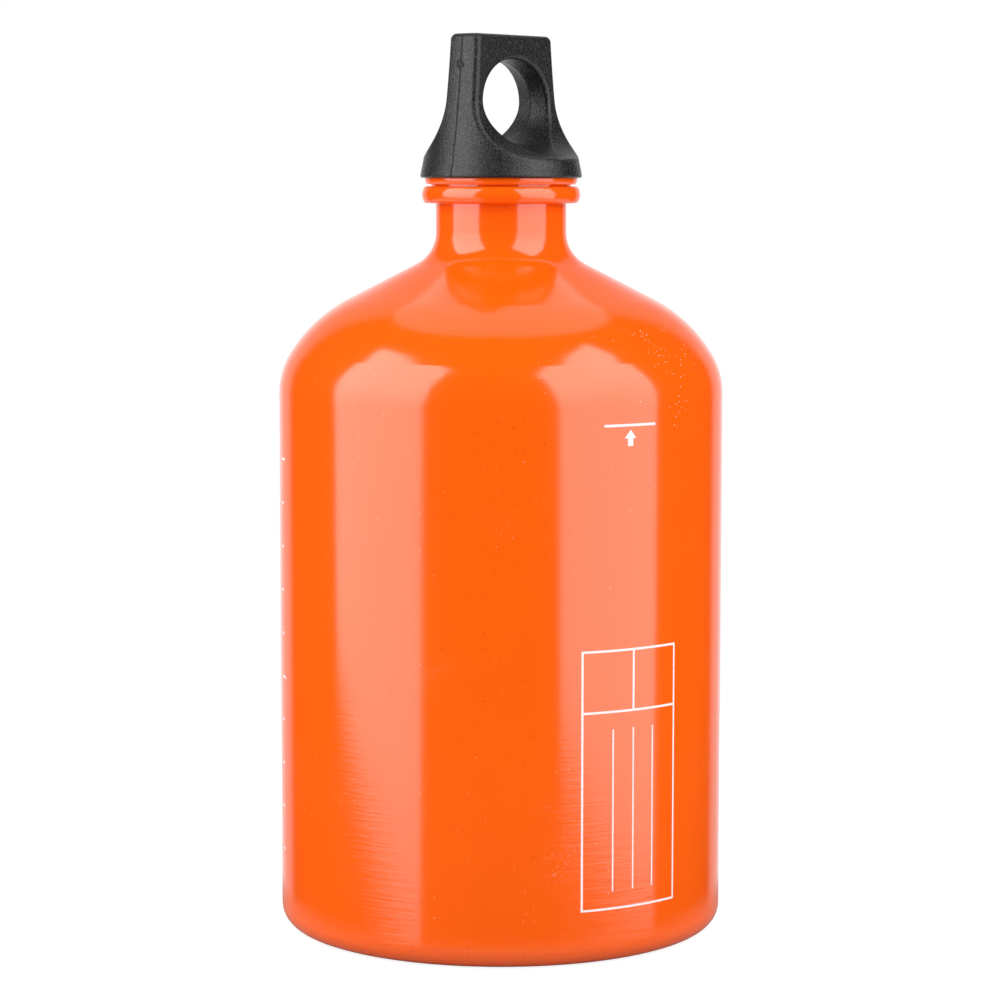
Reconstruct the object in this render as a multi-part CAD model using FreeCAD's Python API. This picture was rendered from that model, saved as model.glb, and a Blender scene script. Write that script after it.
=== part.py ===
import FreeCAD, Part
import math
import os

# Camping fuel bottle, in millimetres. +Z is up along the axis of the bottle, and the
# origin is the middle of the foot. The broad faces of the carrying loop look along Y.

# Bottle: outside, from the foot up
BODY_RADIUS = 52.5
BASE_CORNER_RADIUS = 5.0
FOOT_WIDTH = 9.5
PUNT_RISE = 5.0
BODY_TOP = 127.35
SHOULDER_RADIUS = 17.6
SHOULDER_ANGLE = 31.3
CROWN_RADIUS = 34.85
CROWN_ANGLE = 62.8
NECK_RADIUS = 15.4
NECK_FILLET_RADIUS = 8.45
NECK_HEIGHT = 14.33

# Bottle: bead and rolled rim, out from the neck and down from the top of the rim
BEAD_STAND = 3.3
BEAD_FACE_RADIUS = 3.2
BEAD_FACE_ANGLE = 27.0
BEAD_CORNER_RADIUS = 0.98
BEAD_DROP = 5.54
GROOVE_STAND = 1.1
GROOVE_WIDTH = 0.45
RIM_STAND = 2.6
RIM_ROUND = 1.9
RIM_FLANK_ANGLE = 33.0

# Bottle: wall
WALL = 1.0
FLOOR = 1.5
INNER_CORNER_RADIUS = 4.0
NECK_WALL = 2.85
MOUTH_LEAD = 1.75

# Screw thread between the neck and the plug
THREAD_PITCH = 4.0
THREAD_DEPTH = 1.2
THREAD_ROOT_WIDTH = 2.2
THREAD_CREST_WIDTH = 1.3
THREAD_GAP = 0.35
FLANK_GAP = 0.35
THREAD_DROP = 12.5
THREAD_LENGTH = 9.6
GROOVE_RUN_OUT_TURNS = 1

# Sealing ring
RING_THICKNESS = 1.5
RING_STEP = 0.7
RING_INSET = 1.0
RING_GAP = 0.3

# Stopper: skirt and plug
SKIRT_DROP = 1.6
SKIRT_WALL = 0.75
SKIRT_GAP = 0.45
SKIRT_EDGE_ROUND = 0.55
SKIRT_INNER_ROUND = 1.2
SHANK_DROP = 1.1
PLUG_LENGTH = 16.0
PLUG_LEAD = 1.2
PLUG_WALL = 2.4
PLUG_CORE_RISE = 3.5
PLUG_CORE_ROUND = 5.0
VENT_SLOT_WIDTH = 3.0

# Stopper: carrying loop, up from the top of the rim and in from the skirt
LOOP_RISE = 31.8
LOOP_TOP_INSET = 4.4
LOOP_MIDDLE_INSET = 2.8
LOOP_TOP_HALF_THICKNESS = 4.3
LOOP_EDGE_ROUND = 1.5
SCOOP_RISE = 3.08
SCOOP_RADIUS = 13.9
SCOOP_DRAFT = 1.14
EYE_RISE = 6.6
EYE_TOP_WALL = 6.4
EYE_SIDE_WALL = 5.0
EYE_DRAFT = 12.0
EYE_EDGE_ROUND = 1.2

AXIS = FreeCAD.Vector(0, 0, 1)
CENTRE = FreeCAD.Vector(0, 0, 0)
FULL_TURN = 360
NO_TAPER = 0
# Cutting bodies reach this far past what they cut.
PAST = 5.0
# Points nearer than this are the same point.
TOUCH = 1e-4


def on_plane(radius, height):
    """A point of a half section, at a radius from the axis."""
    return FreeCAD.Vector(radius, 0, height)


def polar(centre, radius, degrees):
    """A point of a half section, on a circle about a centre."""
    angle = math.radians(degrees)
    return centre + on_plane(radius * math.cos(angle), radius * math.sin(angle))


def line(start, end):
    return Part.LineSegment(start, end).toShape()


def arc(start, middle, end):
    return Part.Arc(start, middle, end).toShape()


def round_arc(centre, radius, start, end):
    """An arc about a centre, from one angle to another in degrees."""
    middle = (start + end) / 2
    return arc(polar(centre, radius, start), polar(centre, radius, middle), polar(centre, radius, end))


def path(*items):
    """Edges joined in order: an edge stays, and points between edges are joined by lines."""
    edges = []
    last = None
    for item in items:
        if isinstance(item, FreeCAD.Vector):
            if last is not None and last.distanceToPoint(item) > TOUCH:
                edges.append(line(last, item))
            last = item
            continue
        ends = [item.valueAt(item.FirstParameter), item.valueAt(item.LastParameter)]
        if last is not None and last.distanceToPoint(ends[0]) > TOUCH:
            edges.append(line(last, ends[0]))
        edges.append(item)
        last = ends[1]
    return edges


def turned(edges):
    """The closed outline of a half section, turned about the axis into a solid."""
    start = edges[0].valueAt(edges[0].FirstParameter)
    end = edges[-1].valueAt(edges[-1].LastParameter)
    if start.distanceToPoint(end) > TOUCH:
        edges = edges + [line(end, start)]
    return Part.Face(Part.Wire(edges)).revolve(CENTRE, AXIS, FULL_TURN)


def crown_to_neck(crown_radius, neck_radius):
    """The centre of the fillet between the slope of the crown and a neck."""
    outward = polar(CENTRE, 1, CROWN_ANGLE)
    upward = on_plane(-outward.z, outward.x)
    start = CROWN + outward * crown_radius
    length = (start.x - neck_radius - NECK_FILLET_RADIUS * (1 - outward.x)) / outward.z
    return start + upward * length + outward * NECK_FILLET_RADIUS


# Radii and heights that follow from the sizes above
FOOT_INNER_RADIUS = BODY_RADIUS - BASE_CORNER_RADIUS - FOOT_WIDTH
SHOULDER = on_plane(BODY_RADIUS - SHOULDER_RADIUS, BODY_TOP)
CROWN = polar(SHOULDER, SHOULDER_RADIUS - CROWN_RADIUS, SHOULDER_ANGLE)
NECK_FILLET = crown_to_neck(CROWN_RADIUS, NECK_RADIUS)
RIM_TOP = NECK_FILLET.z + NECK_HEIGHT
RIM_RADIUS = NECK_RADIUS + RIM_STAND
GROOVE_RADIUS = NECK_RADIUS + GROOVE_STAND
BORE_RADIUS = NECK_RADIUS - NECK_WALL
MOUTH_RADIUS = BORE_RADIUS + MOUTH_LEAD
PLUG_ROOT_RADIUS = BORE_RADIUS - THREAD_GAP
PLUG_CREST_RADIUS = PLUG_ROOT_RADIUS + THREAD_DEPTH
PLUG_BOTTOM = RIM_TOP - PLUG_LENGTH
PLUG_CORE_RADIUS = PLUG_ROOT_RADIUS - PLUG_WALL
PLUG_CORE_TOP = RIM_TOP + PLUG_CORE_RISE
SHANK_BOTTOM = RIM_TOP - SHANK_DROP
RING_INNER_RADIUS = PLUG_ROOT_RADIUS + RING_STEP
RING_OUTER_RADIUS = RIM_RADIUS - RING_INSET
SKIRT_BOTTOM = RIM_TOP - SKIRT_DROP
SKIRT_RADIUS = RIM_RADIUS + SKIRT_GAP + SKIRT_WALL
LOOP_TOP = RIM_TOP + LOOP_RISE
LOOP_TOP_RADIUS = SKIRT_RADIUS - LOOP_TOP_INSET
LOOP_MIDDLE_RADIUS = SKIRT_RADIUS - LOOP_MIDDLE_INSET
SCOOP_FLOOR = RIM_TOP + SCOOP_RISE
SCOOP_START = SCOOP_FLOOR + SCOOP_RADIUS * (1 - math.sin(math.radians(SCOOP_DRAFT)))
EYE_BOTTOM = RIM_TOP + EYE_RISE
EYE_TOP = LOOP_TOP - EYE_TOP_WALL
EYE_HALF_WIDTH = LOOP_MIDDLE_RADIUS - EYE_SIDE_WALL


def ridge_width(radius):
    """The width of the plug's thread at a radius, along its sloping flanks."""
    slope = (THREAD_ROOT_WIDTH - THREAD_CREST_WIDTH) / THREAD_DEPTH
    return THREAD_ROOT_WIDTH - slope * (radius - PLUG_ROOT_RADIUS)


def thread_ridge(inner_radius, outer_radius, gap, run_out):
    """The plug's thread between two radii, wound about the axis, right-handed, with sloping
    flanks: wider by a gap on both flanks, and longer by a run-out at both ends."""
    start = RIM_TOP - THREAD_DROP - run_out
    helix = Part.makeLongHelix(THREAD_PITCH, THREAD_LENGTH + 2 * run_out, inner_radius, NO_TAPER)
    helix.translate(AXIS * start)
    inner_half = ridge_width(inner_radius) / 2 + gap
    outer_half = ridge_width(outer_radius) / 2 + gap
    corners = [
        on_plane(inner_radius, start - inner_half),
        on_plane(outer_radius, start - outer_half),
        on_plane(outer_radius, start + outer_half),
        on_plane(inner_radius, start + inner_half),
    ]
    section = Part.makePolygon(corners + corners[:1])
    ridge = Part.BRepOffsetAPI.MakePipeShell(Part.Wire(helix))
    ridge.setFrenetMode(True)
    ridge.add(section)
    ridge.build()
    ridge.makeSolid()
    return ridge.shape()


def bottle_body():
    """The one-piece metal bottle: domed base, body, shoulder, neck, bead and rim."""
    corner = on_plane(BODY_RADIUS - BASE_CORNER_RADIUS, BASE_CORNER_RADIUS)
    # The bead has a round face between two small corners, and a narrow groove parts it from the rim.
    bead = on_plane(NECK_RADIUS + BEAD_STAND - BEAD_FACE_RADIUS, RIM_TOP - BEAD_DROP)
    corner_reach = BEAD_FACE_RADIUS - BEAD_CORNER_RADIUS
    bead_low = polar(bead, corner_reach, -BEAD_FACE_ANGLE)
    bead_high = polar(bead, corner_reach, BEAD_FACE_ANGLE)
    bead_top = bead_high.z + BEAD_CORNER_RADIUS
    rim = on_plane(RIM_RADIUS - RIM_ROUND, RIM_TOP - RIM_ROUND)
    flank_top = polar(rim, RIM_ROUND, -RIM_FLANK_ANGLE)
    flank_drop = flank_top.z - bead_top - GROOVE_WIDTH
    flank_foot = flank_top - on_plane(flank_drop * math.tan(math.radians(RIM_FLANK_ANGLE)), flank_drop)
    punt_middle = FOOT_INNER_RADIUS / 2
    punt_sphere = (FOOT_INNER_RADIUS ** 2 + PUNT_RISE ** 2) / (2 * PUNT_RISE)
    punt_middle_rise = PUNT_RISE - punt_sphere + math.sqrt(punt_sphere ** 2 - punt_middle ** 2)
    outside = turned(path(
        arc(on_plane(0, PUNT_RISE), on_plane(punt_middle, punt_middle_rise), on_plane(FOOT_INNER_RADIUS, 0)),
        round_arc(corner, BASE_CORNER_RADIUS, -90, 0),
        round_arc(SHOULDER, SHOULDER_RADIUS, 0, SHOULDER_ANGLE),
        round_arc(CROWN, CROWN_RADIUS, SHOULDER_ANGLE, CROWN_ANGLE),
        round_arc(NECK_FILLET, NECK_FILLET_RADIUS, CROWN_ANGLE - 180, -180),
        on_plane(NECK_RADIUS, bead_low.z - BEAD_CORNER_RADIUS),
        round_arc(bead_low, BEAD_CORNER_RADIUS, -90, -BEAD_FACE_ANGLE),
        round_arc(bead, BEAD_FACE_RADIUS, -BEAD_FACE_ANGLE, BEAD_FACE_ANGLE),
        round_arc(bead_high, BEAD_CORNER_RADIUS, BEAD_FACE_ANGLE, 90),
        on_plane(GROOVE_RADIUS, bead_top),
        on_plane(GROOVE_RADIUS, flank_foot.z),
        flank_foot,
        round_arc(rim, RIM_ROUND, -RIM_FLANK_ANGLE, 90),
        on_plane(0, RIM_TOP),
    ))

    # The inside follows the outside at the thickness of the wall, up to a thick neck.
    inner_corner = on_plane(BODY_RADIUS - WALL - INNER_CORNER_RADIUS, FLOOR + INNER_CORNER_RADIUS)
    inner_fillet = crown_to_neck(CROWN_RADIUS - WALL, BORE_RADIUS)
    inside = turned(path(
        arc(
            on_plane(0, PUNT_RISE + FLOOR),
            on_plane(punt_middle, punt_middle_rise + FLOOR),
            on_plane(FOOT_INNER_RADIUS, FLOOR),
        ),
        round_arc(inner_corner, INNER_CORNER_RADIUS, -90, 0),
        round_arc(SHOULDER, SHOULDER_RADIUS - WALL, 0, SHOULDER_ANGLE),
        round_arc(CROWN, CROWN_RADIUS - WALL, SHOULDER_ANGLE, CROWN_ANGLE),
        round_arc(inner_fillet, NECK_FILLET_RADIUS, CROWN_ANGLE - 180, -180),
        on_plane(BORE_RADIUS, RIM_TOP - MOUTH_LEAD),
        on_plane(MOUTH_RADIUS, RIM_TOP),
        on_plane(MOUTH_RADIUS, RIM_TOP + PAST),
        on_plane(0, RIM_TOP + PAST),
    ))

    # The groove of the thread winds in step with the ridge on the plug, with a gap all round,
    # and runs out below the bore and above the mouth.
    run_out = GROOVE_RUN_OUT_TURNS * THREAD_PITCH
    groove = thread_ridge(PLUG_ROOT_RADIUS, PLUG_CREST_RADIUS + THREAD_GAP, FLANK_GAP, run_out)
    return outside.cut(inside).cut(groove)


def sealing_ring():
    """The flat rubber ring between the rim and the stopper."""
    ring = Part.makeCylinder(RING_OUTER_RADIUS, RING_THICKNESS, AXIS * RIM_TOP)
    return ring.cut(Part.makeCylinder(RING_INNER_RADIUS, RING_THICKNESS, AXIS * RIM_TOP))


def loop_blank():
    """The tapering round outside of the stopper, hollowed on both sides into a flat loop."""
    flank = Part.BSplineCurve()
    flank.interpolate([
        on_plane(SKIRT_RADIUS, SKIRT_BOTTOM),
        on_plane(LOOP_MIDDLE_RADIUS, (SKIRT_BOTTOM + LOOP_TOP) / 2),
        on_plane(LOOP_TOP_RADIUS, LOOP_TOP),
    ])
    blank = turned(path(on_plane(0, SKIRT_BOTTOM), flank.toShape(), on_plane(0, LOOP_TOP)))
    # The half section of one scoop: a plane with a little draft, then a hollow round
    # that turns level just outside the skirt.
    reach = SKIRT_RADIUS + PAST
    taper = (LOOP_TOP - SCOOP_START) * math.tan(math.radians(SCOOP_DRAFT))
    start = on_plane(LOOP_TOP_HALF_THICKNESS + taper, SCOOP_START)
    centre = polar(start, SCOOP_RADIUS, SCOOP_DRAFT)
    edges = path(
        on_plane(LOOP_TOP_HALF_THICKNESS, LOOP_TOP),
        round_arc(centre, SCOOP_RADIUS, SCOOP_DRAFT - 180, -90),
        on_plane(reach, SCOOP_FLOOR),
        on_plane(reach, LOOP_TOP),
        on_plane(LOOP_TOP_HALF_THICKNESS, LOOP_TOP),
    )
    scoop = Part.Face(Part.Wire(edges)).extrude(FreeCAD.Vector(0, 2 * reach, 0))
    scoop.translate(FreeCAD.Vector(0, -reach, 0))
    for side in (0, FULL_TURN / 2):
        blank = blank.cut(scoop.rotated(CENTRE, AXIS, side))
    # Turned here so that the broad faces look along Y.
    return blank.rotated(CENTRE, AXIS, FULL_TURN / 4)


def eye_cutter():
    """The oval eye, narrowest at the parting plane and opening to both sides."""
    depth = SKIRT_RADIUS + PAST
    spread = depth * math.tan(math.radians(EYE_DRAFT))
    middle = AXIS * ((EYE_TOP + EYE_BOTTOM) / 2)
    half_height = (EYE_TOP - EYE_BOTTOM) / 2
    ovals = []
    for out in (0, 1):
        width = EYE_HALF_WIDTH + out * spread
        height = half_height + out * spread
        wire = Part.Wire(Part.Ellipse(CENTRE, max(width, height), min(width, height)).toShape())
        if height > width:
            wire.rotate(CENTRE, AXIS, FULL_TURN / 4)
        wire.rotate(CENTRE, FreeCAD.Vector(1, 0, 0), 90)
        wire.translate(middle - FreeCAD.Vector(0, out * depth, 0))
        ovals.append(wire)
    half = Part.makeLoft(ovals, True, True)
    return half, half.rotated(middle, AXIS, FULL_TURN / 2)


def edges_where(shape, wanted):
    """The edges of a shape between two of its faces that a test picks out."""
    return [edge for edge in shape.Edges if len(shape.ancestorsOfType(edge, Part.Face)) == 2 and wanted(edge)]


def carrying_loop():
    """The loop and the outside of the skirt, with every edge rounded and the eye through the loop."""
    blank = loop_blank()

    # The level line where the plane of a scoop runs smoothly into its round is no corner.
    def is_corner(edge):
        bounds = edge.BoundBox
        is_smooth = bounds.ZLength < TOUCH and abs(bounds.ZMin - SCOOP_START) < TOUCH
        return bounds.ZMin > SKIRT_BOTTOM + LOOP_EDGE_ROUND and not is_smooth

    loop = blank.makeFillet(LOOP_EDGE_ROUND, edges_where(blank, is_corner))
    skirt_edge = edges_where(loop, lambda edge: edge.BoundBox.ZMax < SKIRT_BOTTOM + SKIRT_EDGE_ROUND)
    loop = loop.makeFillet(SKIRT_EDGE_ROUND, skirt_edge)
    halves = eye_cutter()
    for half in halves:
        loop = loop.cut(half)
    eye_wall = halves[0].fuse(halves[1])

    def on_mouth(edge):
        middle = edge.valueAt((edge.FirstParameter + edge.LastParameter) / 2)
        return eye_wall.distToShape(Part.Vertex(middle))[0] < TOUCH and abs(middle.y) > EYE_EDGE_ROUND

    return loop.makeFillet(EYE_EDGE_ROUND, edges_where(loop, on_mouth))


def screw_stopper():
    """The moulded stopper: loop with its eye, skirt over the rim, and hollow threaded plug."""
    roof = RIM_TOP + RING_THICKNESS
    shank = RING_INNER_RADIUS - RING_GAP
    skirt_inside = RIM_RADIUS + SKIRT_GAP
    skirt_corner = on_plane(skirt_inside - SKIRT_INNER_ROUND, roof - SKIRT_INNER_ROUND)
    cavity = turned(path(
        on_plane(0, SKIRT_BOTTOM - PAST),
        on_plane(skirt_inside, SKIRT_BOTTOM - PAST),
        round_arc(skirt_corner, SKIRT_INNER_ROUND, 0, 90),
        on_plane(0, roof),
    ))
    plug = turned(path(
        on_plane(0, PLUG_BOTTOM),
        on_plane(PLUG_ROOT_RADIUS - PLUG_LEAD, PLUG_BOTTOM),
        on_plane(PLUG_ROOT_RADIUS, PLUG_BOTTOM + PLUG_LEAD),
        on_plane(PLUG_ROOT_RADIUS, SHANK_BOTTOM),
        on_plane(shank, SHANK_BOTTOM),
        on_plane(shank, roof),
        on_plane(0, roof),
    ))
    ridge = thread_ridge(PLUG_ROOT_RADIUS - THREAD_GAP, PLUG_CREST_RADIUS, 0, 0)
    slot = Part.makeBox(THREAD_DEPTH + PAST, VENT_SLOT_WIDTH, SHANK_BOTTOM - PLUG_BOTTOM)
    slot.translate(FreeCAD.Vector(PLUG_ROOT_RADIUS, -VENT_SLOT_WIDTH / 2, PLUG_BOTTOM))
    dome = on_plane(PLUG_CORE_RADIUS - PLUG_CORE_ROUND, PLUG_CORE_TOP - PLUG_CORE_ROUND)
    core = turned(path(
        on_plane(0, PLUG_BOTTOM),
        on_plane(PLUG_CORE_RADIUS, PLUG_BOTTOM),
        round_arc(dome, PLUG_CORE_ROUND, 0, 90),
        on_plane(0, PLUG_CORE_TOP),
    ))
    return carrying_loop().cut(cavity).fuse(plug).fuse(ridge.cut(slot)).cut(core)


os.makedirs("parts", exist_ok=True)
pieces = {
    "bottle_body": bottle_body(),
    "sealing_ring": sealing_ring(),
    "screw_stopper": screw_stopper(),
}
for name, piece in pieces.items():
    shape = piece.Solids[0]
    shape.exportStep("parts/" + name + ".step")
    print(name, shape.isValid(), len(piece.Solids), "solid", round(shape.Volume), "mm3")
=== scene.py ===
import math

import bpy
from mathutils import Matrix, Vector

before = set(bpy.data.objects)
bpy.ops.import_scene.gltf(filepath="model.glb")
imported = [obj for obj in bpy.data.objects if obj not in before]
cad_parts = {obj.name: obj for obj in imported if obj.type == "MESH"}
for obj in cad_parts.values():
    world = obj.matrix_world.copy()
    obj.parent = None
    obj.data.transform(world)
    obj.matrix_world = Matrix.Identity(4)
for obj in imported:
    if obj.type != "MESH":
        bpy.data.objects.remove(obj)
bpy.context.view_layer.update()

bpy.ops.object.select_all(action="DESELECT")

# Lengths are in metres and colours are linear. A pair of numbers that is handed to rise() or spread() gives
# where an effect begins and where it is full, or its least and its greatest value.

# The side of the bottle that faces the camera, as a turn about the bottle's axis.
FRONT = math.radians(-52.4)
TOWARDS_CAMERA = Vector((math.sin(FRONT), -math.cos(FRONT), 0))
CAMERA_RIGHT = Vector((math.cos(FRONT), math.sin(FRONT), 0))
UP = Vector((0, 0, 1))
LEVEL = (1, 1, 0)
WHITE = (1, 1, 1, 1)

# The camera, as the photograph's perspective gives it; the focal length and the shifts are in pixels.
PHOTO_WIDTH = 1001
SENSOR_WIDTH = 36
CAMERA_DISTANCE, CAMERA_HEIGHT = 0.76606, 0.1798
CAMERA_PITCH, CAMERA_ROLL = 0.102146, 0.00108915
FOCAL_LENGTH = 3230.765
SHIFT_RIGHT, SHIFT_UP = -0.668, 0.511

# The prints on the paint, in metres and degrees round the axis from the front, to the right.
BODY_RADIUS = 0.0525
PRINTED_DEPTH = 0.0005
TURN_PER_METRE = 1090.0
FILL_LINE = {"left": 26.1, "right": 41.6, "low": 0.12262, "high": 0.12318}
ARROW_ANGLE = 33.7
ARROW_TIP, ARROW_SHOULDER, ARROW_FOOT = 0.12185, 0.11995, 0.1182
ARROW_HEAD, ARROW_SHAFT = 0.0016, 0.00073
ARROW_EDGE = 0.00006
PANEL = {"left": 20.5, "right": 49.0, "low": 0.01305, "high": 0.0721}
PANEL_LINE = 0.0005
PANEL_HEADING = 0.0582
PANEL_DIVIDER = 35.0
WRITING_LINES = (29.0, 35.0, 41.2)
WRITING_MARGIN = 0.004
WRITING_WEIGHT = 0.7
SCALE_LEFT = -78.5
SCALE_LOW, SCALE_STEP, SCALE_TICKS = 0.0197, 0.0103, 10
SHORT_TICK, LONG_TICK, TICKS_TO_LONG = 2.5, 4.5, 5
INK_EDGE, INK_EDGE_TURN = 0.00008, 0.09
INK_WAVER, INK_WAVER_SCALE = 0.00016, 2600.0

# Where the bottle is bare metal
INWARD = -0.0005
INNER_WALL_LOW = 0.006
THROAT_RADIUS, THROAT_LOW = 0.0147, 0.1
PAN_RADIUS, PAN_HIGH, PAN_SLOPE = 0.0515, 0.012, 0.3
LAND_RADIUS, LAND_LOW = 0.0157, 0.179

# Paint and metal of the bottle
ORANGE_DEEP, ORANGE_LIGHT = (0.93, 0.106, 0.0018, 1), (0.96, 0.12, 0.0026, 1)
MOTTLE_SCALE, MOTTLE_SPREAD = 90.0, (0.2, 0.8)
PAINT_SPECKS = {"Cell": 0.0017, "Size": 0.0002, "Share": 0.8}
SPECK_DARK, SPECK_PALE = (0.3, 0.025, 0.003, 1), (0.98, 0.42, 0.22, 1)
SPECK_STRENGTH, SPECK_PALE_FROM = 0.65, 0.6
KNOCKED_HEIGHT = ((0.117, 0.125), (0.147, 0.139))
KNOCKED_TURN = ((32.0, 42.0), (70.0, 60.0))
KNOCK_SCALE, KNOCK_PATCH = 130.0, (0.42, 0.6)
PAINT_CHIPS = {"Cell": 0.0009, "Size": 0.00022}
PAINT_HAIRS = {"Width": 0.00013, "Patches": 0.13}
WORN_PAINT, HAIR_STRENGTH, CHIP_STRENGTH = (0.98, 0.47, 0.3, 1), 0.6, 0.85
INK = (0.87, 0.83, 0.84, 1)
PAINT_IOR = 1.65
GLOSS_SCALE, PAINT_GLOSS, HAIR_GLOSS, INK_GLOSS = 320.0, (0.115, 0.145), 0.25, 0.34
LINE_SPACING, LINES_FROM, LINES_DEPTH = 0.0005, (0.085, 0.035), (0.05, 2.6)
PEEL = {"Size": 0.0011, "Coarse": 0.4}
PEEL_DEPTH, SPECK_DEPTH, HAIR_DEPTH, INK_DEPTH = 0.12, 0.6, -0.3, 0.5
PAINT_RELIEF = 0.00001
ALUMINIUM_DARK, ALUMINIUM_PALE = (0.52, 0.52, 0.53, 1), (0.74, 0.74, 0.75, 1)
ALUMINIUM_LINE_SPACING, ALUMINIUM_GLOSS = 0.0006, (0.28, 0.5)

# Plastic of the stopper; the gate mark is where the plastic was fed into the mould, on the seam.
BLACK_DEEP, BLACK_LIGHT = (0.0045, 0.0045, 0.005, 1), (0.0075, 0.0075, 0.0082, 1)
PATCH_SCALE = 160.0
SPARK = {"Size": 0.0003, "Coarse": 0.12}
# Painted highlight and painted shade: the spark grain's peaks get a paler black and its pits a deeper black,
# by the height of the grain.
PAINTED_HIGHLIGHT_PEAKS, PEAK_HIGHLIGHT_BLACK = (0.55, 0.69), (0.072, 0.072, 0.075, 1)
PAINTED_SHADE_PITS, PIT_SHADE_BLACK = (0.45, 0.35), (0.001, 0.001, 0.001, 1)
SPARK_RANGE, PLASTIC_GLOSS, PLASTIC_SPECULAR = (0.35, 0.65), (0.38, 0.2), 0.47
PLASTIC_DUST = {"Cell": 0.0034, "Size": 0.00014, "Share": 0.22}
DUST_STRENGTH, DUST_DEPTH, DUST_GREY = 0.5, 0.4, (0.14, 0.14, 0.14, 1)
PLASTIC_RUBS = {"Width": 0.00014, "Patches": 0.14}
RUB_STRENGTH, RUB_GREY = 0.35, (0.05, 0.05, 0.052, 1)
SEAM_EDGE, SEAM_LOW = (0.00024, 0.00013), 0.1779
SEAM_WAVER, SEAM_WAVER_SCALE = 0.00008, 700.0
GATE_MARK = (-0.0153, 0.0002, 0.2043)
GATE_EDGE, GATE_WAVER, GATE_WAVER_SCALE = (0.0012, 0.0008), 0.0016, 900.0
CUT_BLACK, CUT_ROUGHNESS, CUT_DEPTH = (0.003, 0.003, 0.003, 1), 0.3, -2.2
PLASTIC_RELIEF = 0.00016

# Rubber of the sealing ring
RUBBER_DARK, RUBBER_BLOOM = (0.014, 0.014, 0.014, 1), (0.034, 0.034, 0.033, 1)
BLOOM_SCALE = 220.0
RUBBER_SKIN = {"Size": 0.00025, "Coarse": 0.4}
RUBBER_GLOSS = (0.62, 0.82)
RUBBER_DUST = {"Cell": 0.002, "Size": 0.0001, "Share": 0.2}
RUBBER_DUST_GREY = (0.12, 0.12, 0.115, 1)
RUBBER_CUT_SPACING, RUBBER_CUT_DEPTH = 0.0003, 0.7
RUBBER_RELIEF = 0.00002

# Floor: near the bottle it shows in reflections, further out it is clear to them.
FLOOR_RADIUS, FLOOR_SIDES = 0.3, 96
FLOOR_GREY, FLOOR_GLOW = (0.42, 0.42, 0.42, 1), 0.8
FLOOR_CLEARS, FLOOR_CLEARNESS = (0.064, 0.085), (0.0, 0.96)

# Lamps: brighter in the upper part, and fading in along the lower edge, in shares of their height
UPPER_PART, LOWER_EDGE = (0.1, 0.55), (-0.012, 0.03)
LEFT_SOFTBOX = {"right": -0.903, "near": 0.429, "up": 0.47, "facing": -69.4, "tilt": 11.3, "width": 1.078,
                "height": 1.62, "brightness": 2.5, "upper": 1.5, "slant": 0.13}
RIGHT_SOFTBOX = {"right": 0.741, "near": 0.672, "up": 0.623, "facing": 80.0, "tilt": 8.45, "width": 1.219,
                 "height": 1.7, "brightness": 2.4, "upper": 1.4, "slant": 0.0}
TOP_SOFTBOX = {"centre": UP * 1.14 - TOWARDS_CAMERA * 0.5, "turn": (0, 0, FRONT), "width": 1.1,
               "height": 1.25, "brightness": 0.6}

# What reflections see of the room, by the direction: the wall behind, the table at the sides, and the rest
WALL_MIDDLE = -TOWARDS_CAMERA - CAMERA_RIGHT * 0.02
WALL_NARROWS, WALL_NARROWING = (0.0, 0.4), -0.045
WALL_SIDE, WALL_LIGHT = (0.725, 0.84), 0.62
WALL_CENTRE, WALL_CENTRE_LIGHT = (0.88, 0.985), 0.35
WALL_DIMS, WALL_DIMMING = (0.0, 0.5), (1.0, 0.57)
WALL_TOP = (0.76, 0.69)
TABLE_SIDE, TABLE_FAR_EDGE = (0.45, 0.6), (-0.26, -0.4)
DARK_ROOM = 0.008
# The matt light of the room is stronger from behind, where no lamp stands.
BEHIND, ROOM_FRONT, ROOM_BEHIND = (0.0, 0.9), 0.2, 0.85


# ---- node helpers ---------------------------------------------------------------------------------

def feed(tree, socket, value):
    """Links a socket to another node, or sets it to a plain value."""
    if isinstance(value, bpy.types.NodeSocket):
        tree.links.new(value, socket)
    else:
        socket.default_value = value


def add(tree, kind, feeds=None, **settings):
    """Adds a node, with its settings and what feeds its inputs."""
    node = tree.nodes.new(kind)
    for name, value in settings.items():
        setattr(node, name, value)
    for name, value in (feeds or {}).items():
        feed(tree, node.inputs[name], value)
    return node


def maths(tree, operation, *given):
    node = add(tree, "ShaderNodeMath", operation=operation)
    for socket, value in zip(node.inputs, given):
        feed(tree, socket, value)
    return node.outputs[0]


def product(tree, first, *others):
    for factor in others:
        first = maths(tree, "MULTIPLY", first, factor)
    return first


def largest(tree, first, *others):
    for value in others:
        first = maths(tree, "MAXIMUM", first, value)
    return first


def plus(tree, base, extra, factor):
    """The base, and so many times something extra."""
    return maths(tree, "MULTIPLY_ADD", extra, factor, base)


def less(tree, value, limit):
    return maths(tree, "LESS_THAN", value, limit)


def more(tree, value, limit):
    return maths(tree, "GREATER_THAN", value, limit)


def vector_maths(tree, operation, *given):
    node = add(tree, "ShaderNodeVectorMath", operation=operation)
    for socket, value in zip(node.inputs, given):
        feed(tree, socket, value)
    return node.outputs["Value"] if operation in ("LENGTH", "DOT_PRODUCT") else node.outputs["Vector"]


def parts_of(tree, vector):
    return add(tree, "ShaderNodeSeparateXYZ", {"Vector": vector}).outputs


def rise(tree, value, low, high):
    """0 at low, 1 at high, smooth between them; low may be the larger."""
    node = add(tree, "ShaderNodeMapRange", {"Value": value, "From Min": low, "From Max": high},
               interpolation_type="SMOOTHSTEP")
    return node.outputs["Result"]


def spread(tree, value, low, high):
    """A pattern between 0 and 1, laid out between two numbers."""
    node = add(tree, "ShaderNodeMapRange", {"Value": value, "To Min": low, "To Max": high})
    return node.outputs["Result"]


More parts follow.
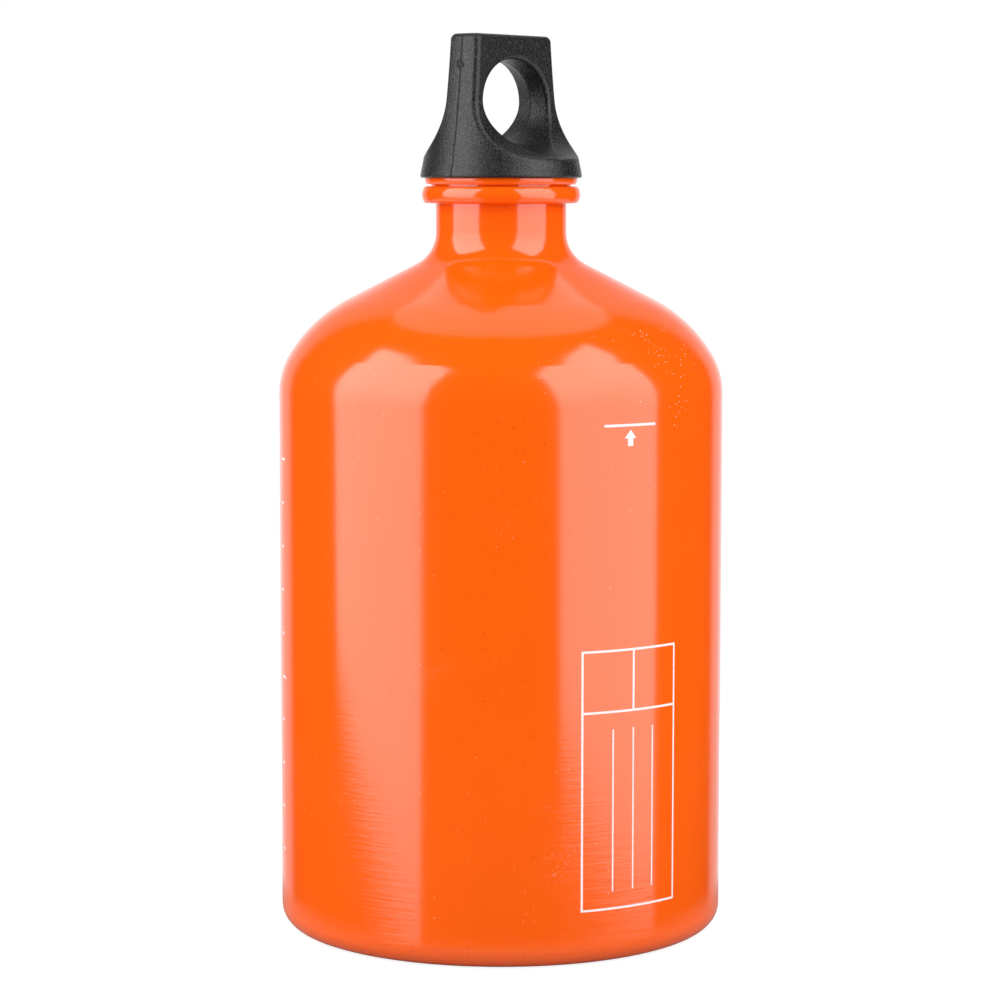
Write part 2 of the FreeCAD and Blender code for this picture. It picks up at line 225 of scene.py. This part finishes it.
def colours(tree, mask, under, over):
    node = add(tree, "ShaderNodeMix", data_type="RGBA")
    for place, value in zip((0, 6, 7), (mask, under, over)):
        feed(tree, node.inputs[place], value)
    return node.outputs[2]


def values(tree, mask, under, over):
    node = add(tree, "ShaderNodeMix", data_type="FLOAT")
    for place, value in zip((0, 2, 3), (mask, under, over)):
        feed(tree, node.inputs[place], value)
    return node.outputs[0]


def noise(tree, vector, scale, detail):
    node = add(tree, "ShaderNodeTexNoise", {"Vector": vector, "Scale": scale, "Detail": detail})
    return node.outputs["Fac"]


def waver(tree, vector, scale, size):
    """A small wandering to both sides of 0, for edges that aren't quite straight."""
    return maths(tree, "MULTIPLY", maths(tree, "SUBTRACT", noise(tree, vector, scale, 2.0), 0.5), size)


def mirrored_rays(tree, rays):
    return maths(tree, "MAXIMUM", rays["Is Glossy Ray"], rays["Is Transmission Ray"])


def effect(name, inputs, outputs):
    """Starts a node group for an effect that several finishes use."""
    tree = bpy.data.node_groups.new(name, "ShaderNodeTree")
    for socket, kind in inputs.items():
        tree.interface.new_socket(socket, in_out="INPUT", socket_type="NodeSocket" + kind)
    for socket in outputs:
        tree.interface.new_socket(socket, in_out="OUTPUT", socket_type="NodeSocketFloat")
    return tree, add(tree, "NodeGroupInput").outputs, add(tree, "NodeGroupOutput").inputs


def use(tree, group, **inputs):
    """Places an effect in a finish, with its own values."""
    node = add(tree, "ShaderNodeGroup", node_tree=group)
    for name, value in inputs.items():
        feed(tree, node.inputs[name], value)
    return node.outputs


def finish_tree(name):
    """A new finish: its node tree, its Principled shader and the piece's own coordinates."""
    material = bpy.data.materials.new(name)
    material.use_nodes = True
    tree = material.node_tree
    shader = next(n for n in tree.nodes if n.type == "BSDF_PRINCIPLED")
    return material, tree, shader, add(tree, "ShaderNodeTexCoord").outputs["Object"]


def emboss(tree, shader, relief, depth):
    """Gives a finish its relief, with the depth of one step of it."""
    bump = add(tree, "ShaderNodeBump", {"Height": relief, "Distance": depth, "Strength": 1.0})
    feed(tree, shader.inputs["Normal"], bump.outputs["Normal"])


# ---- effects that several finishes use ------------------------------------------------------------

def make_round_the_axis():
    """Where a point is, as a turn about the bottle's axis from the front, a radius and a height."""
    tree, given, out = effect("round_the_axis", {"Position": "Vector"}, ("Angle", "Radius", "Height"))
    turned = add(tree, "ShaderNodeMapping", {"Vector": given["Position"], "Rotation": (0, 0, -FRONT)})
    place = parts_of(tree, turned.outputs[0])
    angle = maths(tree, "ARCTAN2", place["X"], maths(tree, "MULTIPLY", place["Y"], -1.0))
    flat = vector_maths(tree, "MULTIPLY", given["Position"], LEVEL)
    feed(tree, out["Angle"], maths(tree, "DEGREES", angle))
    feed(tree, out["Radius"], vector_maths(tree, "LENGTH", flat))
    feed(tree, out["Height"], place["Z"])
    return tree


def make_turned_lines():
    """Fine streaks round the axis, as turning and polishing leave them."""
    streaks_per_degree, broad_stretch, broad_share = 0.06, (2.3, 0.37, 1), 0.45
    tree, given, out = effect("turned_lines", {"Angle": "Float", "Height": "Float", "Spacing": "Float"},
                              ("Lines",))
    across = maths(tree, "DIVIDE", given["Height"], given["Spacing"])
    along = maths(tree, "MULTIPLY", given["Angle"], streaks_per_degree)
    streak = add(tree, "ShaderNodeCombineXYZ", {"X": along, "Y": across}).outputs[0]
    fine = noise(tree, streak, 1.0, 3.0)
    broad = noise(tree, vector_maths(tree, "MULTIPLY", streak, broad_stretch), 1.0, 1.0)
    feed(tree, out["Lines"], values(tree, broad_share, fine, broad))
    return tree


def make_specks():
    """Scattered specks of dust and tiny pits, one in some of the cells."""
    size_range, soft_edge = (0.4, 1.2), (1.0, 0.5)
    tree, given, out = effect("specks", {"Position": "Vector", "Cell": "Float", "Size": "Float",
                                         "Share": "Float"}, ("Specks", "Shade"))
    cell = add(tree, "ShaderNodeCombineXYZ", {axis: given["Cell"] for axis in "XYZ"}).outputs[0]
    cells = add(tree, "ShaderNodeTexVoronoi", {
        "Vector": vector_maths(tree, "DIVIDE", given["Position"], cell), "Scale": 1.0})
    luck = add(tree, "ShaderNodeSeparateColor", {"Color": cells.outputs["Color"]}).outputs
    reach = maths(tree, "MULTIPLY", maths(tree, "DIVIDE", given["Size"], given["Cell"]),
                  spread(tree, luck["Green"], *size_range))
    dot = rise(tree, maths(tree, "DIVIDE", cells.outputs["Distance"], reach), *soft_edge)
    feed(tree, out["Specks"], maths(tree, "MULTIPLY", dot, less(tree, luck["Red"], given["Share"])))
    feed(tree, out["Shade"], luck["Blue"])
    return tree


def make_scratches():
    """Short hair scratches in patches, in two slants."""
    patch_scale, patch_begins, patch_full = 38.0, 0.78, 0.9
    slants = (((0.5, 0.3, 0.9), (0.0, 0.0, 0.0)), ((-0.7, 0.5, -0.6), (0.4, 0.4, 0.4)))
    drawn_out, hair_edge = (0.05, 1, 1), (0.74, 0.8)
    tree, given, out = effect("scratches", {"Position": "Vector", "Width": "Float", "Patches": "Float"},
                              ("Scratches",))
    worn = rise(tree, noise(tree, given["Position"], patch_scale, 2.0),
                maths(tree, "SUBTRACT", patch_begins, given["Patches"]),
                maths(tree, "SUBTRACT", patch_full, given["Patches"]))
    scale = maths(tree, "DIVIDE", 1.0, given["Width"])
    hairs = []
    for slant, shift in slants:
        turned = add(tree, "ShaderNodeMapping", {"Vector": given["Position"], "Location": shift,
                                                 "Rotation": slant}).outputs[0]
        drawn = vector_maths(tree, "MULTIPLY", turned, drawn_out)
        hairs.append(rise(tree, noise(tree, drawn, scale, 0.0), *hair_edge))
    feed(tree, out["Scratches"], maths(tree, "MULTIPLY", worn, largest(tree, *hairs)))
    return tree


def make_grain():
    """A fine even grain, as a mould or a sprayed coat leaves it, with a share of a coarser one."""
    coarser = 0.33
    tree, given, out = effect("grain", {"Position": "Vector", "Size": "Float", "Coarse": "Float"}, ("Grain",))
    scale = maths(tree, "DIVIDE", 1.0, given["Size"])
    fine = noise(tree, given["Position"], scale, 2.0)
    coarse = noise(tree, given["Position"], maths(tree, "MULTIPLY", scale, coarser), 1.0)
    feed(tree, out["Grain"], values(tree, given["Coarse"], fine, coarse))
    return tree


def make_ink_strip():
    """A printed strip between two angles and two heights, with slightly soft edges."""
    tree, given, out = effect("ink_strip", {name: "Float" for name in (
        "Angle", "Height", "Left", "Right", "Low", "High")}, ("Ink",))
    sides = []
    for here, edge, soft, sign in (("Angle", "Left", INK_EDGE_TURN, 1), ("Angle", "Right", INK_EDGE_TURN, -1),
                                   ("Height", "Low", INK_EDGE, 1), ("Height", "High", INK_EDGE, -1)):
        past = maths(tree, "MULTIPLY", maths(tree, "SUBTRACT", given[here], given[edge]), sign)
        sides.append(rise(tree, past, -soft, soft))
    feed(tree, out["Ink"], product(tree, *sides))
    return tree


round_the_axis = make_round_the_axis()
turned_lines = make_turned_lines()
specks = make_specks()
scratches = make_scratches()
grain = make_grain()
ink_strip = make_ink_strip()


# ---- finishes -------------------------------------------------------------------------------------

def arrow_ink(tree, angle, height):
    """A small arrow that points up at the fill line."""
    aside = maths(tree, "ABSOLUTE", maths(tree, "MULTIPLY", maths(tree, "SUBTRACT", angle, ARROW_ANGLE),
                                          math.radians(BODY_RADIUS)))
    taper = maths(tree, "MULTIPLY", maths(tree, "SUBTRACT", ARROW_TIP, height),
                  ARROW_HEAD / (ARROW_TIP - ARROW_SHOULDER))
    in_head = product(tree, rise(tree, height, ARROW_SHOULDER - ARROW_EDGE, ARROW_SHOULDER + ARROW_EDGE),
                      rise(tree, maths(tree, "SUBTRACT", taper, aside), -ARROW_EDGE, ARROW_EDGE))
    in_shaft = product(tree, rise(tree, aside, ARROW_SHAFT + ARROW_EDGE, ARROW_SHAFT - ARROW_EDGE),
                       rise(tree, height, ARROW_FOOT - ARROW_EDGE, ARROW_FOOT + ARROW_EDGE),
                       less(tree, height, ARROW_SHOULDER))
    return largest(tree, in_head, in_shaft)


def strip(left, right, low, high):
    return {"Left": left, "Right": right, "Low": low, "High": high}


def printed_ink(tree, angle, height):
    """All the white print: the fill line, its arrow, an empty note panel and a plain row of ticks."""
    half = PANEL_LINE / 2
    turn = math.degrees(half / BODY_RADIUS)
    thin = turn * WRITING_WEIGHT
    left, right, low, high = (PANEL[side] for side in ("left", "right", "low", "high"))
    strips = [strip(**FILL_LINE)]
    strips += [strip(a - turn, a + turn, low - half, high + half) for a in (left, right)]
    strips += [strip(left, right, z - half, z + half) for z in (low, PANEL_HEADING, high)]
    strips += [strip(PANEL_DIVIDER - turn, PANEL_DIVIDER + turn, PANEL_HEADING, high)]
    strips += [strip(a - thin, a + thin, low + WRITING_MARGIN, PANEL_HEADING - WRITING_MARGIN)
               for a in WRITING_LINES]
    for tick in range(1, SCALE_TICKS + 1):
        z = SCALE_LOW + (tick - 1) * SCALE_STEP
        reach = SHORT_TICK if tick % TICKS_TO_LONG else LONG_TICK
        strips.append(strip(SCALE_LEFT, SCALE_LEFT + reach, z - half, z + half))
    marks = [use(tree, ink_strip, Angle=angle, Height=height, **sides)["Ink"] for sides in strips]
    return largest(tree, arrow_ink(tree, angle, height), *marks)


def bare_metal(tree, position, radius, height):
    """Where the bottle is bare aluminium: its inside, the throat and thread, and the land under the ring."""
    normal = add(tree, "ShaderNodeNewGeometry").outputs["Normal"]
    outward = vector_maths(tree, "DOT_PRODUCT", vector_maths(tree, "MULTIPLY", normal, LEVEL), position)
    inner_wall = product(tree, less(tree, outward, INWARD), more(tree, height, INNER_WALL_LOW))
    throat = product(tree, less(tree, radius, THROAT_RADIUS), more(tree, height, THROAT_LOW))
    faces_up = more(tree, parts_of(tree, normal)["Z"], PAN_SLOPE)
    floor_pan = product(tree, faces_up, less(tree, height, PAN_HIGH), less(tree, radius, PAN_RADIUS))
    land = product(tree, less(tree, radius, LAND_RADIUS), more(tree, height, LAND_LOW))
    return largest(tree, inner_wall, throat, floor_pan, land)


def between(tree, value, edges):
    """1 between two soft edges."""
    return product(tree, *(rise(tree, value, *edge) for edge in edges))


def make_orange_paint():
    """Glossy orange paint over drawn aluminium, printed in white, with bare metal inside."""
    material, tree, shader, position = finish_tree("orange_paint")
    axis = use(tree, round_the_axis, Position=position)
    angle, radius, height = axis["Angle"], axis["Radius"], axis["Height"]

    wander = waver(tree, position, INK_WAVER_SCALE, INK_WAVER)
    ink = product(tree, more(tree, radius, BODY_RADIUS - PRINTED_DEPTH), printed_ink(
        tree, plus(tree, angle, wander, TURN_PER_METRE), maths(tree, "ADD", height, wander)))

    mottle = spread(tree, noise(tree, position, MOTTLE_SCALE, 4.0), *MOTTLE_SPREAD)
    painted = colours(tree, mottle, ORANGE_DEEP, ORANGE_LIGHT)
    dots = use(tree, specks, Position=position, **PAINT_SPECKS)
    dot_colour = colours(tree, more(tree, dots["Shade"], SPECK_PALE_FROM), SPECK_DARK, SPECK_PALE)
    painted = colours(tree, product(tree, dots["Specks"], SPECK_STRENGTH), painted, dot_colour)
    knocks = product(tree, between(tree, height, KNOCKED_HEIGHT), between(tree, angle, KNOCKED_TURN),
                     rise(tree, noise(tree, position, KNOCK_SCALE, 3.0), *KNOCK_PATCH))
    chips = use(tree, specks, Position=position, Share=knocks, **PAINT_CHIPS)["Specks"]
    hairs = use(tree, scratches, Position=position, **PAINT_HAIRS)["Scratches"]
    worn = largest(tree, product(tree, hairs, HAIR_STRENGTH), product(tree, chips, CHIP_STRENGTH))
    painted = colours(tree, worn, painted, WORN_PAINT)
    painted = colours(tree, ink, painted, INK)

    metal = bare_metal(tree, position, radius, height)
    metal_lines = use(tree, turned_lines, Angle=angle, Height=height, Spacing=ALUMINIUM_LINE_SPACING)["Lines"]
    aluminium = colours(tree, metal_lines, ALUMINIUM_DARK, ALUMINIUM_PALE)
    feed(tree, shader.inputs["Base Color"], colours(tree, metal, painted, aluminium))
    feed(tree, shader.inputs["Metallic"], metal)
    shader.inputs["IOR"].default_value = PAINT_IOR

    gloss = spread(tree, noise(tree, position, GLOSS_SCALE, 3.0), *PAINT_GLOSS)
    gloss = values(tree, ink, plus(tree, gloss, hairs, HAIR_GLOSS), INK_GLOSS)
    metal_gloss = spread(tree, metal_lines, *ALUMINIUM_GLOSS)
    feed(tree, shader.inputs["Roughness"], values(tree, metal, gloss, metal_gloss))

    lines = use(tree, turned_lines, Angle=angle, Height=height, Spacing=LINE_SPACING)["Lines"]
    low_down = rise(tree, height, *LINES_FROM)
    relief = product(tree, lines, spread(tree, low_down, *LINES_DEPTH))
    peel = use(tree, grain, Position=position, **PEEL)["Grain"]
    for pattern, depth in ((peel, PEEL_DEPTH), (dots["Specks"], SPECK_DEPTH), (hairs, HAIR_DEPTH),
                           (ink, INK_DEPTH)):
        relief = plus(tree, relief, pattern, depth)
    emboss(tree, shader, relief, PAINT_RELIEF)
    return material


def make_black_moulding():
    """Black moulded plastic with a spark grain, a parting seam and the mark of the gate. The grain's peaks
    are painted paler, a painted highlight, and its pits painted darker, painted shade.
    """
    material, tree, shader, position = finish_tree("black_moulding")
    place = parts_of(tree, position)
    spark = use(tree, grain, Position=position, **SPARK)["Grain"]
    dust = use(tree, specks, Position=position, **PLASTIC_DUST)["Specks"]
    rubs = use(tree, scratches, Position=position, **PLASTIC_RUBS)["Scratches"]
    off_seam = maths(tree, "ABSOLUTE", maths(
        tree, "ADD", place["Y"], waver(tree, position, SEAM_WAVER_SCALE, SEAM_WAVER)))
    seam = product(tree, rise(tree, off_seam, *SEAM_EDGE), more(tree, place["Z"], SEAM_LOW))
    from_gate = vector_maths(tree, "LENGTH", vector_maths(tree, "SUBTRACT", position, GATE_MARK))
    ragged = waver(tree, position, GATE_WAVER_SCALE, GATE_WAVER)
    gate = rise(tree, maths(tree, "ADD", from_gate, ragged), *GATE_EDGE)
    cut = largest(tree, seam, gate)

    black = colours(tree, noise(tree, position, PATCH_SCALE, 4.0), BLACK_DEEP, BLACK_LIGHT)
    # The grain's peaks are painted paler, a painted highlight, and its pits darker, painted shade.
    for mask, over in ((rise(tree, spark, *PAINTED_HIGHLIGHT_PEAKS), PEAK_HIGHLIGHT_BLACK),
                       (rise(tree, spark, *PAINTED_SHADE_PITS), PIT_SHADE_BLACK),
                       (product(tree, rubs, RUB_STRENGTH), RUB_GREY),
                       (product(tree, dust, DUST_STRENGTH), DUST_GREY), (cut, CUT_BLACK)):
        black = colours(tree, mask, black, over)
    feed(tree, shader.inputs["Base Color"], black)
    rough = spread(tree, rise(tree, spark, *SPARK_RANGE), *PLASTIC_GLOSS)
    feed(tree, shader.inputs["Roughness"], plus(tree, rough, cut, CUT_ROUGHNESS))
    shader.inputs["Specular IOR Level"].default_value = PLASTIC_SPECULAR
    emboss(tree, shader, plus(tree, plus(tree, spark, dust, DUST_DEPTH), cut, CUT_DEPTH), PLASTIC_RELIEF)
    return material


def make_black_rubber():
    """Matte rubber of the sealing ring, with faint cutting lines and bloom."""
    material, tree, shader, position = finish_tree("black_rubber")
    axis = use(tree, round_the_axis, Position=position)
    cuts = use(tree, turned_lines, Angle=axis["Angle"], Height=axis["Height"],
               Spacing=RUBBER_CUT_SPACING)["Lines"]
    skin = use(tree, grain, Position=position, **RUBBER_SKIN)["Grain"]
    dust = use(tree, specks, Position=position, **RUBBER_DUST)["Specks"]
    rubber = colours(tree, noise(tree, position, BLOOM_SCALE, 4.0), RUBBER_DARK, RUBBER_BLOOM)
    feed(tree, shader.inputs["Base Color"], colours(tree, dust, rubber, RUBBER_DUST_GREY))
    feed(tree, shader.inputs["Roughness"], spread(tree, skin, *RUBBER_GLOSS))
    emboss(tree, shader, plus(tree, skin, cuts, RUBBER_CUT_DEPTH), RUBBER_RELIEF)
    return material


FINISHES = {"bottle_body": make_orange_paint(), "screw_stopper": make_black_moulding(),
            "sealing_ring": make_black_rubber()}
for name, material in FINISHES.items():
    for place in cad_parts[name].material_slots:
        place.material = material


# ---- floor, lights and camera ---------------------------------------------------------------------

def make_floor():
    """A pale round table top, white to the camera except where the bottle shades it."""
    bpy.ops.mesh.primitive_circle_add(vertices=FLOOR_SIDES, radius=FLOOR_RADIUS, fill_type="NGON",
                                      location=(0, 0, 0))
    floor = bpy.context.object
    floor.name = "floor"
    material = bpy.data.materials.new("pale_floor")
    material.use_nodes = True
    tree = material.node_tree
    tree.nodes.clear()
    rays = add(tree, "ShaderNodeLightPath").outputs
    matt = add(tree, "ShaderNodeBsdfDiffuse", {"Color": FLOOR_GREY}).outputs[0]
    glow = add(tree, "ShaderNodeEmission", {
        "Color": WHITE, "Strength": product(tree, rays["Is Camera Ray"], FLOOR_GLOW)}).outputs[0]
    top = add(tree, "ShaderNodeAddShader")
    feed(tree, top.inputs[0], matt)
    feed(tree, top.inputs[1], glow)
    clear = add(tree, "ShaderNodeBsdfTransparent").outputs[0]
    from_middle = vector_maths(tree, "LENGTH", add(tree, "ShaderNodeTexCoord").outputs["Object"])
    clearness = spread(tree, rise(tree, from_middle, *FLOOR_CLEARS), *FLOOR_CLEARNESS)
    both = add(tree, "ShaderNodeMixShader", {"Fac": product(tree, mirrored_rays(tree, rays), clearness)})
    feed(tree, both.inputs[1], top.outputs[0])
    feed(tree, both.inputs[2], clear)
    out = add(tree, "ShaderNodeOutputMaterial")
    feed(tree, out.inputs["Surface"], both.outputs[0])
    floor.data.materials.append(material)


def soft_panel(name, shape, centre, turn, width, height, brightness, upper=1.0, slant=0.0):
    """A flat soft light that shines down when it is unturned. It is brighter by the factor upper in its upper
    part, and its lower edge slants up towards its left end by a share of its height."""
    lamp = bpy.data.lights.new(name, "AREA")
    lamp.shape = shape
    lamp.size, lamp.size_y = width, height
    lamp.energy = brightness * math.pi * width * height
    lamp.use_nodes = True
    tree = lamp.node_tree
    place = parts_of(tree, add(tree, "ShaderNodeNewGeometry").outputs["Parametric"])
    edge = plus(tree, maths(tree, "SUBTRACT", place["Y"], slant), place["X"], slant)
    glow = next(n for n in tree.nodes if n.type == "EMISSION")
    level = spread(tree, rise(tree, place["Y"], *UPPER_PART), 1.0, upper)
    feed(tree, glow.inputs["Strength"], product(tree, level, rise(tree, edge, *LOWER_EDGE)))
    stand = bpy.data.objects.new(name, lamp)
    stand.location = centre
    stand.rotation_euler = turn
    bpy.context.scene.collection.objects.link(stand)


def side_panel(name, right, near, up, facing, tilt, **light):
    """A standing soft light to the right of the bottle and nearer to the camera, its top leaning in."""
    centre = CAMERA_RIGHT * right + TOWARDS_CAMERA * near + UP * up
    turn = (math.pi / 2 - math.radians(tilt), 0, FRONT + math.radians(facing))
    soft_panel(name, "RECTANGLE", centre, turn, **light)


def make_world():
    """White to the camera. To reflections, a pale wall behind the bottle up to a height, a lit table low down
    at the sides, and nearly dark elsewhere."""
    world = bpy.data.worlds.new("studio")
    bpy.context.scene.world = world
    world.use_nodes = True
    tree = world.node_tree
    tree.nodes.clear()
    direction = add(tree, "ShaderNodeTexCoord").outputs["Generated"]
    up = parts_of(tree, direction)["Z"]
    level_way = vector_maths(tree, "NORMALIZE", vector_maths(tree, "MULTIPLY", direction, LEVEL))
    behind = vector_maths(tree, "DOT_PRODUCT", level_way, WALL_MIDDLE)
    behind = plus(tree, behind, rise(tree, up, *WALL_NARROWS), WALL_NARROWING)
    centre_light = product(tree, rise(tree, behind, *WALL_CENTRE), WALL_CENTRE_LIGHT)
    wall = product(tree, plus(tree, centre_light, rise(tree, behind, *WALL_SIDE), WALL_LIGHT),
                   spread(tree, rise(tree, up, *WALL_DIMS), *WALL_DIMMING), rise(tree, up, *WALL_TOP))
    aside = maths(tree, "ABSOLUTE", vector_maths(tree, "DOT_PRODUCT", level_way, CAMERA_RIGHT))
    table = product(tree, rise(tree, aside, *TABLE_SIDE), rise(tree, up, *TABLE_FAR_EDGE))
    backdrop = largest(tree, wall, table, DARK_ROOM)
    from_behind = rise(tree, vector_maths(tree, "DOT_PRODUCT", direction, -TOWARDS_CAMERA), *BEHIND)
    room = values(tree, from_behind, ROOM_FRONT, ROOM_BEHIND)
    rays = add(tree, "ShaderNodeLightPath").outputs
    level = values(tree, mirrored_rays(tree, rays), room, backdrop)
    level = values(tree, rays["Is Camera Ray"], level, 1.0)
    glow = add(tree, "ShaderNodeBackground", {"Color": WHITE, "Strength": level})
    out = add(tree, "ShaderNodeOutputWorld")
    feed(tree, out.inputs["Surface"], glow.outputs[0])


def make_camera():
    """The photograph's view."""
    lens = bpy.data.cameras.new("camera")
    camera = bpy.data.objects.new("camera", lens)
    bpy.context.scene.collection.objects.link(camera)
    camera.location = TOWARDS_CAMERA * CAMERA_DISTANCE + UP * CAMERA_HEIGHT
    camera.rotation_euler = (math.pi / 2 - CAMERA_PITCH, -CAMERA_ROLL, FRONT)
    lens.sensor_width = SENSOR_WIDTH
    lens.lens = FOCAL_LENGTH * SENSOR_WIDTH / PHOTO_WIDTH
    lens.shift_x = SHIFT_RIGHT / PHOTO_WIDTH
    lens.shift_y = SHIFT_UP / PHOTO_WIDTH
    bpy.context.scene.camera = camera


make_floor()
side_panel("left_softbox", **LEFT_SOFTBOX)
side_panel("right_softbox", **RIGHT_SOFTBOX)
soft_panel("top_softbox", "ELLIPSE", **TOP_SOFTBOX)
make_world()
make_camera()
bpy.context.scene.view_settings.view_transform = "Standard"
